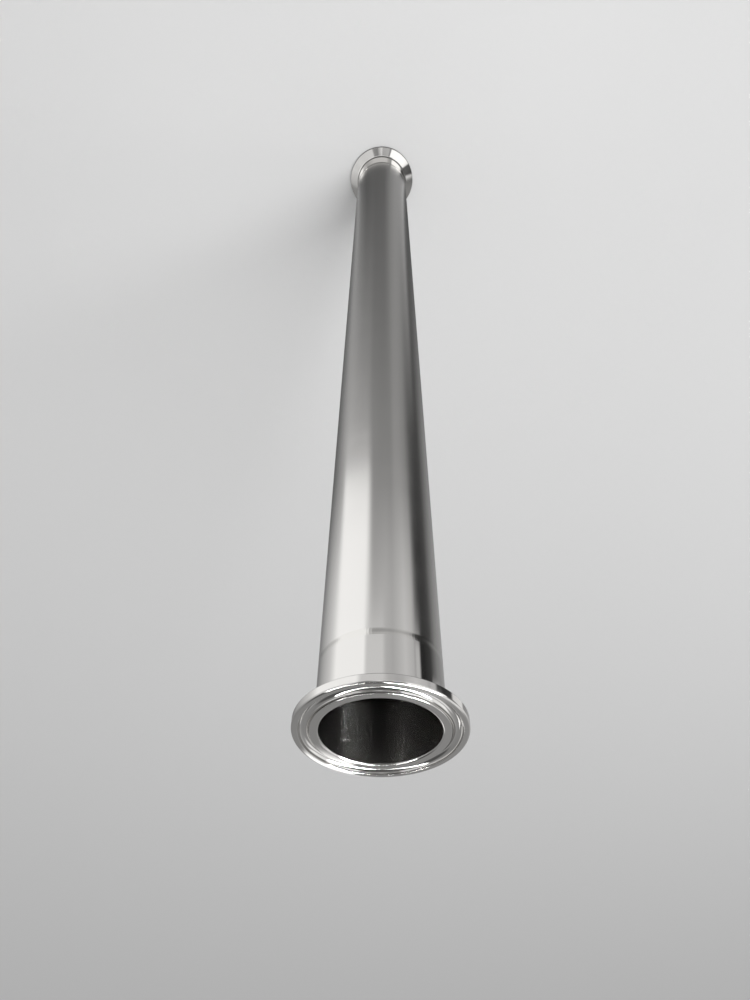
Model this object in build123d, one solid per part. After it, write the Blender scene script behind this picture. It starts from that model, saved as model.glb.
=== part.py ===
from build123d import *
import math
import os

# Sanitary spool pipe: a straight polished stainless tube with a turned clamp ferrule
# butt-welded to each end.  Units are millimetres.
# The spool stands on its lower sealing face.  The origin is the centre of that face and
# +Z runs up along the bore.  The two ends are alike, each the other's mirror image.

# Driving dimensions of the spool and its tube
overall_length = 500.0
tube_outer_diameter = 38.1
tube_wall = 1.5

# Clamp ferrule, with lengths measured along the axis from its sealing face
ferrule_length = 21.5
flange_reach = 6.2         # how far the flange stands out from the neck, all round
rim_thickness = 2.85       # the flange's straight edge, face to start of the taper
clamp_taper = 20.0         # degrees between the flange's back and its face
root_relief = 0.8          # flat that eases the corner between tapered back and neck
rim_front_break = 0.35     # broken corner between sealing face and rim
rim_back_break = 0.2       # broken corner between rim and tapered back
mouth_break = 0.5          # broken corner between sealing face and bore

# Gasket groove: a half-round ring cut into the sealing face
groove_radius = 1.6
groove_step = 30.0         # degrees from one narrow flat of the half-round to the next
outer_land = 1.85          # flat ring between the groove and the rim

# Butt weld, fused flush without filler, centred on the joint of tube and ferrule
weld_width = 2.4
weld_sink = 0.08           # how far the outside of the bead dips below the tube
weld_crown = 0.1           # how far the inside of the bead stands into the bore

# Sizes that follow from the ones above
tube_radius = tube_outer_diameter / 2
bore_radius = tube_radius - tube_wall
flange_radius = tube_radius + flange_reach
groove_centre = flange_radius - outer_land - groove_radius
groove_sides = round(360 / groove_step)
taper_height = flange_reach * math.tan(math.radians(clamp_taper))
weld_start = ferrule_length - weld_width / 2
weld_end = ferrule_length + weld_width / 2
tube_length = overall_length - 2 * weld_end


def corner(section, radius, height):
    """The corner of a section nearest to a given radius and height."""
    return section.vertices().sort_by_distance((radius, height, 0))[0]


def tube():
    """Straight tube, cut square at both welds."""
    ring = Circle(tube_radius) - Circle(bore_radius)
    return Pos(0, 0, weld_end) * extrude(ring, amount=tube_length)


def ferrule():
    """Lower ferrule, turned in one piece: sealing face, rim, tapered back and neck."""
    with BuildPart() as turned:
        with BuildSketch(Plane.XZ) as section:
            with BuildLine():
                Polyline(
                    (bore_radius, 0),
                    (flange_radius, 0),
                    (flange_radius, rim_thickness),
                    (tube_radius, rim_thickness + taper_height),
                    (tube_radius, weld_start),
                    (bore_radius, weld_start),
                    close=True,
                )
            make_face()
            broken = [
                (mouth_break, bore_radius, 0),
                (rim_front_break, flange_radius, 0),
                (rim_back_break, flange_radius, rim_thickness),
                (root_relief, tube_radius, rim_thickness + taper_height),
            ]
            for size, radius, height in broken:
                chamfer(corner(section, radius, height), size)
            with Locations((groove_centre, 0)):
                RegularPolygon(groove_radius, groove_sides, mode=Mode.SUBTRACT)
        revolve(axis=Axis.Z)
    return turned.part


def weld():
    """Bead of the lower weld: full wall, dished outside and slightly crowned inside."""
    with BuildPart() as bead:
        with BuildSketch(Plane.XZ):
            with BuildLine():
                ThreePointArc(
                    (tube_radius, weld_start),
                    (tube_radius - weld_sink, ferrule_length),
                    (tube_radius, weld_end),
                )
                Line((tube_radius, weld_end), (bore_radius, weld_end))
                ThreePointArc(
                    (bore_radius, weld_end),
                    (bore_radius - weld_crown, ferrule_length),
                    (bore_radius, weld_start),
                )
                Line((bore_radius, weld_start), (tube_radius, weld_start))
            make_face()
        revolve(axis=Axis.Z)
    return bead.part


def upper(piece):
    """The same piece turned end for end and set at the upper end of the spool."""
    return Pos(0, 0, overall_length) * Rot(180, 0, 0) * piece


nodes = {
    "tube": tube(),
    "lower_ferrule": ferrule(),
    "upper_ferrule": upper(ferrule()),
    "lower_weld": weld(),
    "upper_weld": upper(weld()),
}

os.makedirs("parts", exist_ok=True)
for name, solid in nodes.items():
    export_step(solid, f"parts/{name}.step")
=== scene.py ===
import bmesh
import bpy
from math import asin, pi, radians, tan
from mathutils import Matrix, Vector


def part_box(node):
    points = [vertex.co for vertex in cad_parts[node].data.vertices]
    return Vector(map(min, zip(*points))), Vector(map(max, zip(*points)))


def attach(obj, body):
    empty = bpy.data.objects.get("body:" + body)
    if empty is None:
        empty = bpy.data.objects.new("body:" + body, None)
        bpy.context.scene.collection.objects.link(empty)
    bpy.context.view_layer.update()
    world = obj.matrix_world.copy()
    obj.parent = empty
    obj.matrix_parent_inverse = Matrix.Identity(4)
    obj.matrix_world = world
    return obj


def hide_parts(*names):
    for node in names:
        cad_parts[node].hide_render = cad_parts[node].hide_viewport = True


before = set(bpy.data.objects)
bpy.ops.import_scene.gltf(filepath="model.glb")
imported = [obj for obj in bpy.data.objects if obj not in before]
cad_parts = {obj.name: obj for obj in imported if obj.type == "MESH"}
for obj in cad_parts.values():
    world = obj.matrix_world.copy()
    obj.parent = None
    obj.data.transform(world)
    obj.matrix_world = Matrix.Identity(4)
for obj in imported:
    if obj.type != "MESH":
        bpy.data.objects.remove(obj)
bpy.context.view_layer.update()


# Tube: a length of 1.5 inch hygienic stainless tube, square-cut and welded at both ends.
# Its outside was belt-polished while the tube turned, which leaves a soft shine with fine
# marks running round it; the inside keeps a duller drawn finish.
tube_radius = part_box("tube")[1].x
tube_wall = 0.0015
tube_steel_color = (0.62, 0.61, 0.595)
bore_roughness = 0.15
# The bore's dull finish is full out to the first distance from the bore wall and ends at the second.
bore_skin = (0.0001, 0.0003)
# Marks are read along the height plus this share of the radius, so that flat faces have them too.
mark_radius_share = 1.37
mark_detail = 3.0
mark_roughness = 0.6
patch_scale = 60.0
patch_detail = 4.0
patch_range = (0.3, 0.7)
quarter_turn = 0.25


def link(tree, source, target):
    """Joins an output to an input of a node tree."""
    tree.links.new(source, target)


def math_node(tree, operation, first, second=None):
    """A Math node whose inputs are sockets or plain numbers; gives its output."""
    node = tree.nodes.new("ShaderNodeMath")
    node.operation = operation
    for socket, value in zip(node.inputs, (first, second)):
        if value is None:
            continue
        if isinstance(value, (int, float)):
            socket.default_value = value
        else:
            tree.links.new(value, socket)
    return node.outputs[0]


def ring_marks_group():
    """Fine marks that run round the bore axis, as left by turning or belt polishing."""
    group = bpy.data.node_groups.new("ring_marks", "ShaderNodeTree")
    for name, kind in (("Point", "NodeSocketVector"), ("Count", "NodeSocketFloat"),
                       ("Breaks", "NodeSocketFloat")):
        group.interface.new_socket(name, in_out="INPUT", socket_type=kind)
    group.interface.new_socket("Marks", in_out="OUTPUT", socket_type="NodeSocketFloat")
    group.interface.new_socket("Radius", in_out="OUTPUT", socket_type="NodeSocketFloat")
    given = group.nodes.new("NodeGroupInput")
    result = group.nodes.new("NodeGroupOutput")
    parts = group.nodes.new("ShaderNodeSeparateXYZ")
    link(group, given.outputs["Point"], parts.inputs[0])
    across = group.nodes.new("ShaderNodeCombineXYZ")
    link(group, parts.outputs["X"], across.inputs["X"])
    link(group, parts.outputs["Y"], across.inputs["Y"])
    length = group.nodes.new("ShaderNodeVectorMath")
    length.operation = "LENGTH"
    link(group, across.outputs[0], length.inputs[0])
    heading = group.nodes.new("ShaderNodeVectorMath")
    heading.operation = "NORMALIZE"
    link(group, across.outputs[0], heading.inputs[0])
    spread = group.nodes.new("ShaderNodeVectorMath")
    spread.operation = "SCALE"
    link(group, heading.outputs[0], spread.inputs[0])
    link(group, given.outputs["Breaks"], spread.inputs["Scale"])
    outwards = math_node(group, "MULTIPLY", length.outputs["Value"], mark_radius_share)
    run = math_node(group, "ADD", parts.outputs["Z"], outwards)
    lift = group.nodes.new("ShaderNodeCombineXYZ")
    link(group, math_node(group, "MULTIPLY", run, given.outputs["Count"]), lift.inputs["Z"])
    place = group.nodes.new("ShaderNodeVectorMath")
    place.operation = "ADD"
    link(group, spread.outputs[0], place.inputs[0])
    link(group, lift.outputs[0], place.inputs[1])
    noise = group.nodes.new("ShaderNodeTexNoise")
    noise.inputs["Scale"].default_value = 1.0
    noise.inputs["Detail"].default_value = mark_detail
    noise.inputs["Roughness"].default_value = mark_roughness
    link(group, place.outputs[0], noise.inputs["Vector"])
    link(group, noise.outputs["Fac"], result.inputs["Marks"])
    link(group, length.outputs["Value"], result.inputs["Radius"])
    return group


ring_marks = ring_marks_group()


def steel_material(name, color, grain, roughness_range, mark_height, mark_count, breaks):
    """Bare stainless steel whose grain runs round the bore axis, duller inside the bore."""
    material = bpy.data.materials.new(name)
    material.use_nodes = True
    tree = material.node_tree
    shader = tree.nodes["Principled BSDF"]
    shader.inputs["Base Color"].default_value = (*color, 1)
    shader.inputs["Metallic"].default_value = 1.0
    shader.inputs["Anisotropic"].default_value = grain
    shader.inputs["Anisotropic Rotation"].default_value = quarter_turn
    place = tree.nodes.new("ShaderNodeTexCoord")
    marks = tree.nodes.new("ShaderNodeGroup")
    marks.node_tree = ring_marks
    marks.inputs["Count"].default_value = mark_count
    marks.inputs["Breaks"].default_value = breaks
    link(tree, place.outputs["Object"], marks.inputs["Point"])
    bump = tree.nodes.new("ShaderNodeBump")
    bump.inputs["Strength"].default_value = 1.0
    bump.inputs["Distance"].default_value = mark_height
    link(tree, marks.outputs["Marks"], bump.inputs["Height"])
    link(tree, bump.outputs["Normal"], shader.inputs["Normal"])
    patches = tree.nodes.new("ShaderNodeTexNoise")
    patches.inputs["Scale"].default_value = patch_scale
    patches.inputs["Detail"].default_value = patch_detail
    link(tree, place.outputs["Object"], patches.inputs["Vector"])
    rough = tree.nodes.new("ShaderNodeMapRange")
    rough.inputs["From Min"].default_value = patch_range[0]
    rough.inputs["From Max"].default_value = patch_range[1]
    rough.inputs["To Min"].default_value = roughness_range[0]
    rough.inputs["To Max"].default_value = roughness_range[1]
    link(tree, patches.outputs["Fac"], rough.inputs["Value"])
    inside = tree.nodes.new("ShaderNodeMapRange")
    inside.inputs["From Min"].default_value = tube_radius - tube_wall + bore_skin[0]
    inside.inputs["From Max"].default_value = tube_radius - tube_wall + bore_skin[1]
    inside.inputs["To Min"].default_value = bore_roughness
    inside.inputs["To Max"].default_value = 0.0
    link(tree, marks.outputs["Radius"], inside.inputs["Value"])
    duller = math_node(tree, "MAXIMUM", rough.outputs["Result"], inside.outputs["Result"])
    link(tree, duller, shader.inputs["Roughness"])
    return material


tube_steel = steel_material("tube_steel", tube_steel_color, grain=0.6, roughness_range=(0.14, 0.18),
                            mark_height=0.0000012, mark_count=2600, breaks=1.5)
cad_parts["tube"].data.materials[0] = tube_steel


# Clamp ferrules: each is turned from bar in one piece, with a half-round gasket groove in its
# sealing face, a straight rim, a 20 degree back for the clamp and a short neck of the tube's
# own size.  They are mirror-polished, with faint turning lines left in face and bore.
rim_thickness = 0.00285
clamp_taper = radians(20)
groove_radius = 0.0016
outer_land = 0.00185
rounded_mouth = 0.0006
rounded_rim_front = 0.0006
rounded_rim_back = 0.0003
rounded_root = 0.0012
groove_edge = 0.00018
rounding_steps = 8
turning_steps = 256
groove_steps = 24
crease_angle = radians(40)
flat_weight = 100
# Vertices this close are one: along a section, and at the seam where its spin closes.
section_gap = 0.000002
seam_gap = 0.000001
ferrule_steel_color = (0.60, 0.59, 0.575)
ferrule_steel = steel_material("ferrule_steel", ferrule_steel_color, grain=1.0,
                               roughness_range=(0.04, 0.06), mark_height=0.0000006,
                               mark_count=3800, breaks=2.0)


def add_line(section, points):
    """Adds a run of straight edges through points given as (radius, height)."""
    run = [section.verts.new((radius, 0, height)) for radius, height in points]
    for first, second in zip(run, run[1:]):
        section.edges.new((first, second))


def add_arc(section, start, centre, angle, steps):
    """Draws an arc from start, about centre, both (radius, height), by spinning one vertex."""
    first = section.verts.new((start[0], 0, start[1]))
    bmesh.ops.spin(section, geom=[first], axis=(0, 1, 0), cent=(centre[0], 0, centre[1]),
                   steps=steps, angle=angle)


def vertex_at(section, radius, height):
    """The vertex of a section that lies nearest to a given radius and height."""
    return min(section.verts, key=lambda v: (v.co.x - radius) ** 2 + (v.co.z - height) ** 2)


def turned_piece(name, node, section, material):
    """Spins a section round the bore axis into a smooth closed piece that replaces its CAD node."""
    bmesh.ops.remove_doubles(section, verts=section.verts, dist=section_gap)
    bmesh.ops.spin(section, geom=section.verts[:] + section.edges[:], axis=(0, 0, 1), cent=(0, 0, 0),
                   steps=turning_steps, angle=2 * pi, use_merge=True)
    bmesh.ops.remove_doubles(section, verts=section.verts, dist=seam_gap)
    bmesh.ops.recalc_face_normals(section, faces=section.faces)
    mesh = bpy.data.meshes.new(name)
    section.to_mesh(mesh)
    section.free()
    mesh.shade_smooth()
    mesh.set_sharp_from_angle(angle=crease_angle)
    mesh.materials.append(material)
    piece = bpy.data.objects.new(name, mesh)
    bpy.context.scene.collection.objects.link(piece)
    flats = piece.modifiers.new("true_flats", "WEIGHTED_NORMAL")
    flats.weight = flat_weight
    flats.keep_sharp = True
    shaded = piece.evaluated_get(bpy.context.evaluated_depsgraph_get())
    piece.data = bpy.data.meshes.new_from_object(shaded)
    piece.modifiers.clear()
    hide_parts(node)
    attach(piece, "root")


def turned_ferrule(name, node, face_z, inward):
    """A clamp ferrule with its sealing face at face_z; inward is +1 or -1 along Z."""
    low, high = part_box(node)
    flange_radius = high.x
    bore_radius = tube_radius - tube_wall
    end_z = face_z + inward * (high.z - low.z)
    rim_z = face_z + inward * rim_thickness
    root_z = rim_z + inward * (flange_radius - tube_radius) * tan(clamp_taper)
    groove_centre = flange_radius - outer_land - groove_radius
    groove_inner = groove_centre - groove_radius
    groove_outer = groove_centre + groove_radius
    section = bmesh.new()
    add_line(section, [(bore_radius, end_z), (bore_radius, face_z), (groove_inner, face_z)])
    add_arc(section, (groove_inner, face_z), (groove_centre, face_z), inward * pi, groove_steps)
    add_line(section, [(groove_outer, face_z), (flange_radius, face_z), (flange_radius, rim_z),
                       (tube_radius, root_z), (tube_radius, end_z), (bore_radius, end_z)])
    bmesh.ops.remove_doubles(section, verts=section.verts, dist=section_gap)
    lean = tan(clamp_taper / 2 + pi / 4)
    rounded = [
        (bore_radius, face_z, rounded_mouth),
        (groove_inner, face_z, groove_edge),
        (groove_outer, face_z, groove_edge),
        (flange_radius, face_z, rounded_rim_front),
        (flange_radius, rim_z, rounded_rim_back / lean),
        (tube_radius, root_z, rounded_root / lean),
    ]
    for radius, height, back_off in rounded:
        corner = vertex_at(section, radius, height)
        bmesh.ops.bevel(section, geom=[corner], offset=back_off, offset_type="OFFSET",
                        segments=rounding_steps, profile=0.5, affect="VERTICES", material=-1)
    turned_piece(name, node, section, ferrule_steel)


turned_ferrule("lower_clamp_ferrule", "lower_ferrule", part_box("lower_ferrule")[0].z, 1)
turned_ferrule("upper_clamp_ferrule", "upper_ferrule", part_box("upper_ferrule")[1].z, -1)


# Weld beads: tube and ferrule were fused together by a travelling arc, without filler.
# Each bead is dished outside and crowned inside, steeper towards its ferrule, with fine
# ripples round it, and is duller than the polished metal.
bead_sink = 0.00003
bead_inside_crown = 0.0001
bead_arc_steps = 12
bead_ripples = 130
bead_ripple_height = 0.000003
bead_ripple_bow = 5.0
bead_step = 0.00017
# The skin climbs between these shares of the bead's width, counted from the tube.
bead_climb = (-0.1, 0.78)
bead_steel_color = (0.6, 0.59, 0.57)


def between(tree, value, low, high, smooth=True):
    """0 where value is at low, 1 where it is at high; low may be the larger."""
    span = tree.nodes.new("ShaderNodeMapRange")
    if smooth:
        span.interpolation_type = "SMOOTHSTEP"
    span.inputs["From Min"].default_value = low
    span.inputs["From Max"].default_value = high
    link(tree, value, span.inputs["Value"])
    return span.outputs["Result"]


def weld_material(name, tube_side, ferrule_side):
    """Fused steel whose skin climbs towards the ferrule; both sides are heights along the bore."""
    material = steel_material(name, bead_steel_color, grain=0.3, roughness_range=(0.10, 0.16),
                              mark_height=0.000002, mark_count=1500, breaks=30.0)
    tree = material.node_tree
    marks_bump = next(n for n in tree.nodes if n.bl_idname == "ShaderNodeBump")
    place = next(n for n in tree.nodes if n.bl_idname == "ShaderNodeTexCoord")
    parts = tree.nodes.new("ShaderNodeSeparateXYZ")
    link(tree, place.outputs["Object"], parts.inputs[0])
    across = tree.nodes.new("ShaderNodeMapRange")
    across.inputs["From Min"].default_value = tube_side
    across.inputs["From Max"].default_value = ferrule_side
    link(tree, parts.outputs["Z"], across.inputs["Value"])
    along = across.outputs["Result"]
    turn = math_node(tree, "ARCTAN2", parts.outputs["Y"], parts.outputs["X"])
    off_centre = math_node(tree, "POWER", math_node(tree, "SUBTRACT", along, 0.5), 2.0)
    phase = math_node(tree, "ADD", math_node(tree, "MULTIPLY", turn, bead_ripples),
                      math_node(tree, "MULTIPLY", off_centre, bead_ripple_bow))
    ripple = math_node(tree, "SINE", phase)
    slope = tree.nodes.new("ShaderNodeBump")
    slope.inputs["Distance"].default_value = bead_step
    link(tree, between(tree, along, *bead_climb), slope.inputs["Height"])
    rippled = tree.nodes.new("ShaderNodeBump")
    rippled.inputs["Distance"].default_value = bead_ripple_height
    link(tree, ripple, rippled.inputs["Height"])
    link(tree, slope.outputs["Normal"], rippled.inputs["Normal"])
    link(tree, rippled.outputs["Normal"], marks_bump.inputs["Normal"])
    return material


def arc_across(section, radius, low, high, rise):
    """An arc from low to high at a radius, standing out by rise in the middle, or in if negative."""
    half = (high - low) / 2
    arc_radius = (half * half + rise * rise) / (2 * abs(rise))
    away = arc_radius - abs(rise)
    centre = (radius - away if rise > 0 else radius + away, low + half)
    sweep = 2 * asin(half / arc_radius)
    add_arc(section, (radius, low), centre, -sweep if rise > 0 else sweep, bead_arc_steps)


def weld_bead(name, node, tube_side, ferrule_side):
    """The ring of fused metal between the tube and one ferrule."""
    bore_radius = tube_radius - tube_wall
    low, high = sorted((tube_side, ferrule_side))
    section = bmesh.new()
    arc_across(section, tube_radius, low, high, -bead_sink)
    arc_across(section, bore_radius, low, high, -bead_inside_crown)
    add_line(section, [(bore_radius, low), (tube_radius, low)])
    add_line(section, [(bore_radius, high), (tube_radius, high)])
    material = weld_material(name + "_steel", tube_side, ferrule_side)
    turned_piece(name, node, section, material)


lower_bead_low, lower_bead_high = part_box("lower_weld")
upper_bead_low, upper_bead_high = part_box("upper_weld")
weld_bead("lower_weld_bead", "lower_weld", lower_bead_high.z, lower_bead_low.z)
weld_bead("upper_weld_bead", "upper_weld", upper_bead_low.z, upper_bead_high.z)


# Floor: a wide sheet of plain pale paper, of the studio and not of the part.
# It takes the pipe's shadow.  Reflections show the tent in its place.
floor_size = 12.0
floor_color = (0.64, 0.64, 0.64)
paper_roughness = 0.9


def plain_material(name, color, roughness):
    """A matt material of one colour."""
    material = bpy.data.materials.new(name)
    material.use_nodes = True
    shader = material.node_tree.nodes["Principled BSDF"]
    shader.inputs["Base Color"].default_value = (*color, 1)
    shader.inputs["Roughness"].default_value = roughness
    return material


def staged(name, shape, material):
    """Puts a bmesh into the scene as part of the studio."""
    mesh = bpy.data.meshes.new(name)
    shape.to_mesh(mesh)
    shape.free()
    mesh.materials.append(material)
    thing = bpy.data.objects.new(name, mesh)
    bpy.context.scene.collection.objects.link(thing)
    return thing


floor_shape = bmesh.new()
bmesh.ops.create_grid(floor_shape, x_segments=1, y_segments=1, size=floor_size / 2)
floor = staged("floor", floor_shape, plain_material("floor_paper", floor_color, paper_roughness))
floor.visible_glossy = False


# Tent: a drum of cloth round the pipe, of the studio, that is seen in reflections alone.
# Its breadths are light and dark, and light cards and lamps hang on it, which gives the metal
# its bright and dark stripes.
tent_radius = 0.3
tent_height = 1.4
tent_sink = 0.0005
tent_segments = 96
# Tones by bearing: degrees from the front, positive towards +X.  The floor of the tent goes
# from the inner tones at its centre to the outer ones at the drum.
inner_tones = [(-180, 0.10), (-140, 0.08), (-119, 0.06), (-98, 0.16), (-88, 0.55), (-76, 0.42),
               (-57, 0.36), (-45, 0.33), (-33, 0.27), (-22, 0.21), (-10, 0.13), (30, 0.10),
               (57, 0.06), (84, 0.15), (101, 0.34), (123, 0.17), (180, 0.10)]
outer_tones = [(-180, 0.22), (-140, 0.29), (-119, 0.22), (-100, 0.07), (-84, 0.065), (-70, 0.12),
               (-57, 0.30), (-44, 0.38), (-32, 0.40), (-21, 0.32), (0, 0.33), (22, 0.36),
               (34, 0.45), (84, 0.56), (101, 0.45), (123, 0.26), (145, 0.13), (180, 0.22)]
wall_tones = [(-180, 0.40), (-140, 0.36), (-119, 0.29), (-99, 0.07), (-82, 0.03), (-72, 0.04),
              (-67, 0.18), (-60, 0.66), (-44, 0.81), (-32, 0.70), (-21, 0.61), (-10, 0.67),
              (12, 0.58), (22, 0.70), (95, 1.0), (103, 0.83), (124, 0.54), (147, 0.25), (180, 0.40)]
sky_tones = [(-180, 0.34), (-130, 0.60), (-112, 0.90), (-96, 0.34), (-86, 0.23), (-83, 0.25),
             (-80, 1.7), (-31, 1.7), (-28, 0.30), (-23, 0.70), (-4, 0.68), (0, 1.2), (9, 0.7),
             (13, 0.36), (25, 0.42), (30, 1.0), (60, 0.94), (76, 1.0), (86, 0.85), (96, 0.58),
             (118, 0.32), (180, 0.34)]
upper_tones = [(-180, 0.34), (-128, 0.45), (-118, 1.5), (-70, 1.0), (-34, 0.9), (-26, 0.20), (10, 0.20),
               (28, 0.30), (38, 0.8), (64, 0.8), (74, 0.4), (110, 0.3), (160, 0.34), (180, 0.34)]
roof_tone = 0.12
# Where each breadth of the drum takes over from the one below: start and end of the blend.
breadths = [(0.03, 0.25, wall_tones), (0.30, 0.42, sky_tones), (0.58, 0.64, upper_tones)]
roof_blend = (0.74, 0.82)
# Cards and lamps: bearings of both sides, softness in degrees, bottom, top, softness in
# metres, tone.
cards = [
    (24, 90, 8, 0.055, 0.35, 0.015, 1.38),
    (-6, 26, 5, 0.246, 0.34, 0.02, 0.90),
    (-73, -63, 3, 0.262, 0.34, 0.010, 0.70),
    (-126, -101, 3, 0.300, 0.46, 0.01, 1.0),
    (169, 176.2, 0.8, 0.600, 0.656, 0.004, 2.0),
    (165, 178, 2, 0.510, 0.59, 0.01, 1.5),
    (-176, -140, 4, 0.72, 1.1, 0.03, 1.2),
    (-130, -98, 4, 0.72, 1.1, 0.03, 1.2),
    (-95, -85, 3, 0.80, 1.5, 0.03, 280.0),
    (78, 84, 3, 0.80, 1.5, 0.03, 45.0),
]


def turn_share(degrees):
    """A bearing in degrees as a share of the full turn, with the front at a half."""
    return degrees / 360 + 0.5


def tone_ramp(tree, bearing, tones):
    """A ramp of greys against the bearing, which runs from 0 to 1 all round."""
    ramp = tree.nodes.new("ShaderNodeValToRGB")
    stops = ramp.color_ramp.elements
    while len(stops) < len(tones):
        stops.new(0.5)
    for stop, (degrees, tone) in zip(stops, tones):
        stop.position = turn_share(degrees)
        stop.color = (tone, tone, tone, 1)
    link(tree, bearing, ramp.inputs["Fac"])
    return ramp.outputs["Color"]


def grey(tree, tone):
    """One even tone."""
    node = tree.nodes.new("ShaderNodeRGB")
    node.outputs[0].default_value = (tone, tone, tone, 1)
    return node.outputs[0]


def blend_tones(tree, factor, first, second):
    """Mixes two tones, from the first at 0 to the second at 1."""
    mix = tree.nodes.new("ShaderNodeMix")
    mix.data_type = "RGBA"
    link(tree, factor, mix.inputs["Factor"])
    link(tree, first, mix.inputs["A"])
    link(tree, second, mix.inputs["B"])
    return mix.outputs["Result"]


def bearing_of(tree):
    """The bearing of a shaded point, from 0 to 1 all round, and a node with its X, Y and Z."""
    place = tree.nodes.new("ShaderNodeTexCoord")
    parts = tree.nodes.new("ShaderNodeSeparateXYZ")
    link(tree, place.outputs["Object"], parts.inputs[0])
    forwards = math_node(tree, "MULTIPLY", parts.outputs["Y"], -1.0)
    turn = math_node(tree, "ARCTAN2", parts.outputs["X"], forwards)
    return math_node(tree, "ADD", math_node(tree, "DIVIDE", turn, 2 * pi), 0.5), parts


def cloth_material(name):
    """A material without a shader yet, for cloth that glows."""
    material = bpy.data.materials.new(name)
    material.use_nodes = True
    material.node_tree.nodes.remove(material.node_tree.nodes["Principled BSDF"])
    return material


def only_reflected(thing):
    """Hides a studio piece from everything but reflections."""
    thing.visible_camera = False
    thing.visible_diffuse = False
    thing.visible_shadow = False
    thing.visible_transmission = False


tent_cloth = cloth_material("tent_cloth")
tree = tent_cloth.node_tree
bearing, parts = bearing_of(tree)
height = parts.outputs["Z"]
ground = tree.nodes.new("ShaderNodeCombineXYZ")
link(tree, parts.outputs["X"], ground.inputs["X"])
link(tree, parts.outputs["Y"], ground.inputs["Y"])
reach = tree.nodes.new("ShaderNodeVectorMath")
reach.operation = "LENGTH"
link(tree, ground.outputs[0], reach.inputs[0])
tones = blend_tones(tree, between(tree, reach.outputs["Value"], 0.0, tent_radius, False),
                    tone_ramp(tree, bearing, inner_tones), tone_ramp(tree, bearing, outer_tones))
for low, high, breadth in breadths:
    tones = blend_tones(tree, between(tree, height, low, high), tones, tone_ramp(tree, bearing, breadth))
tones = blend_tones(tree, between(tree, height, *roof_blend), tones, grey(tree, roof_tone))
for left, right, turn_soft, bottom, top, rise_soft, tone in cards:
    edges = [
        between(tree, bearing, turn_share(left - turn_soft), turn_share(left + turn_soft)),
        between(tree, bearing, turn_share(right + turn_soft), turn_share(right - turn_soft)),
        between(tree, height, bottom - rise_soft, bottom + rise_soft),
        between(tree, height, top + rise_soft, top - rise_soft),
    ]
    mask = edges[0]
    for edge in edges[1:]:
        mask = math_node(tree, "MULTIPLY", mask, edge)
    tones = blend_tones(tree, mask, tones, grey(tree, tone))
glow = tree.nodes.new("ShaderNodeEmission")
link(tree, tones, glow.inputs["Color"])
link(tree, glow.outputs[0], tree.nodes["Material Output"].inputs["Surface"])

tent_shape = bmesh.new()
bmesh.ops.create_cone(tent_shape, cap_ends=True, segments=tent_segments, radius1=tent_radius,
                      radius2=tent_radius, depth=tent_height)
bmesh.ops.translate(tent_shape, verts=tent_shape.verts, vec=(0, 0, tent_height / 2 - tent_sink))
only_reflected(staged("tent", tent_shape, tent_cloth))


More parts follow.
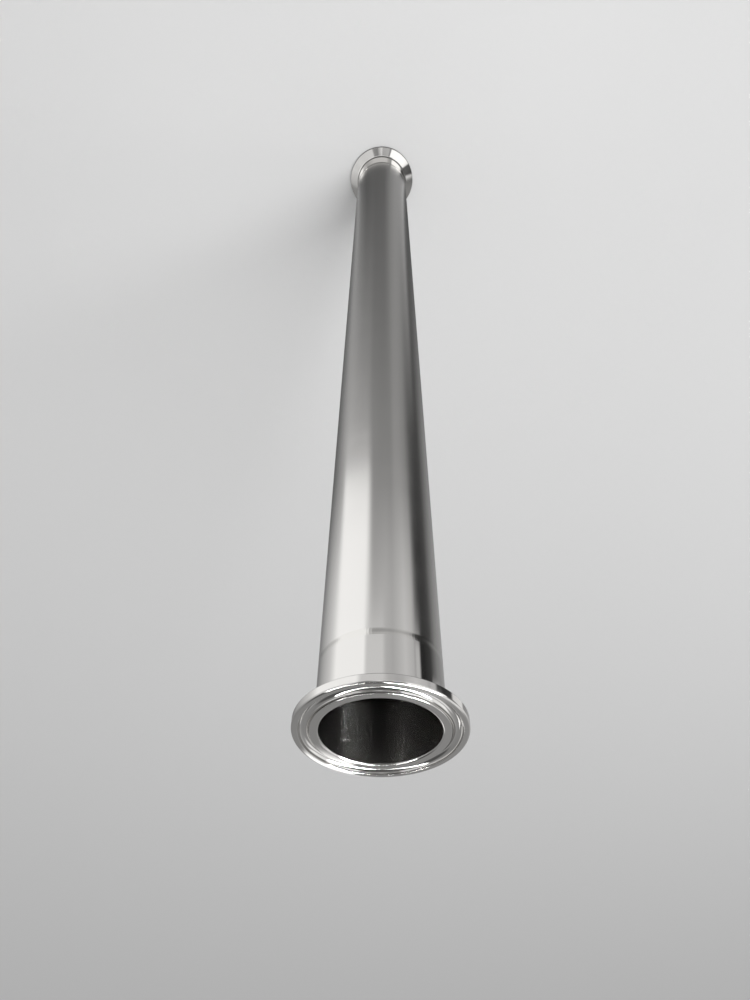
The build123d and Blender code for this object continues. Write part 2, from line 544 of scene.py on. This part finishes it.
# Collar: a flat ring of cloth, of the studio, that hangs level in the tent, round the pipe and
# above its lower flange.  Its underside glows and lights the flange's back by reflection; seen
# from above it is clear.
collar_height = 0.08
collar_inner, collar_outer = 0.105, 0.21
collar_tones = [(-180, 0.40), (-100, 0.30), (-76, 0.05), (-71, 1.2), (-62, 2.4), (-36, 2.4),
                (-32, 0.70), (-24, 0.75), (-16, 1.2), (24, 1.15), (50, 0.75), (66, 1.1),
                (76, 2.0), (86, 1.8), (96, 0.8), (110, 0.35), (180, 0.40)]
collar_cloth = cloth_material("collar_cloth")
tree = collar_cloth.node_tree
underside = tree.nodes.new("ShaderNodeEmission")
link(tree, tone_ramp(tree, bearing_of(tree)[0], collar_tones), underside.inputs["Color"])
clear = tree.nodes.new("ShaderNodeBsdfTransparent")
side = tree.nodes.new("ShaderNodeNewGeometry")
either = tree.nodes.new("ShaderNodeMixShader")
link(tree, side.outputs["Backfacing"], either.inputs["Fac"])
link(tree, underside.outputs[0], either.inputs[1])
link(tree, clear.outputs[0], either.inputs[2])
link(tree, either.outputs[0], tree.nodes["Material Output"].inputs["Surface"])

collar_shape = bmesh.new()
hem = [collar_shape.verts.new((radius, 0, collar_height)) for radius in (collar_inner, collar_outer)]
collar_shape.edges.new(hem)
bmesh.ops.spin(collar_shape, geom=collar_shape.verts[:] + collar_shape.edges[:], axis=(0, 0, 1),
               cent=(0, 0, 0), steps=tent_segments, angle=2 * pi, use_merge=True)
for face in collar_shape.faces:
    if face.normal.z > 0:
        face.normal_flip()
only_reflected(staged("collar", collar_shape, collar_cloth))


# Light: a pale sky all round and one broad soft key lamp, high at the front on the side of -X.
sky_grey = 0.8
sky_strength = 0.75
world = bpy.data.worlds.new("pale_sky")
world.use_nodes = True
world.node_tree.nodes["Background"].inputs["Color"].default_value = (sky_grey, sky_grey, sky_grey, 1)
world.node_tree.nodes["Background"].inputs["Strength"].default_value = sky_strength
bpy.context.scene.world = world

key_lamp = bpy.data.lights.new("key_lamp", "AREA")
key_lamp.shape = "RECTANGLE"
key_lamp.size = 1.2
key_lamp.size_y = 1.2
key_lamp.energy = 30
key = bpy.data.objects.new("key_lamp", key_lamp)
key.location = (-0.9, -0.9, 1.7)
key.rotation_euler = (radians(45), 0, radians(-45))
key.visible_glossy = False
bpy.context.scene.collection.objects.link(key)


# Camera: close to the upper end, looking down along the pipe, with the upper end at the foot
# of the picture.
camera_data = bpy.data.cameras.new("camera")
camera_data.sensor_width = 36.0
camera_data.lens = 24.96
camera_data.clip_start = 0.01
camera = bpy.data.objects.new("camera", camera_data)
camera.location = (0.0, -0.1781, 0.6032)
camera.rotation_euler = (radians(-41.25), radians(0.45), radians(179.76))
bpy.context.scene.collection.objects.link(camera)
bpy.context.scene.camera = camera
bpy.context.scene.view_settings.view_transform = "Standard"
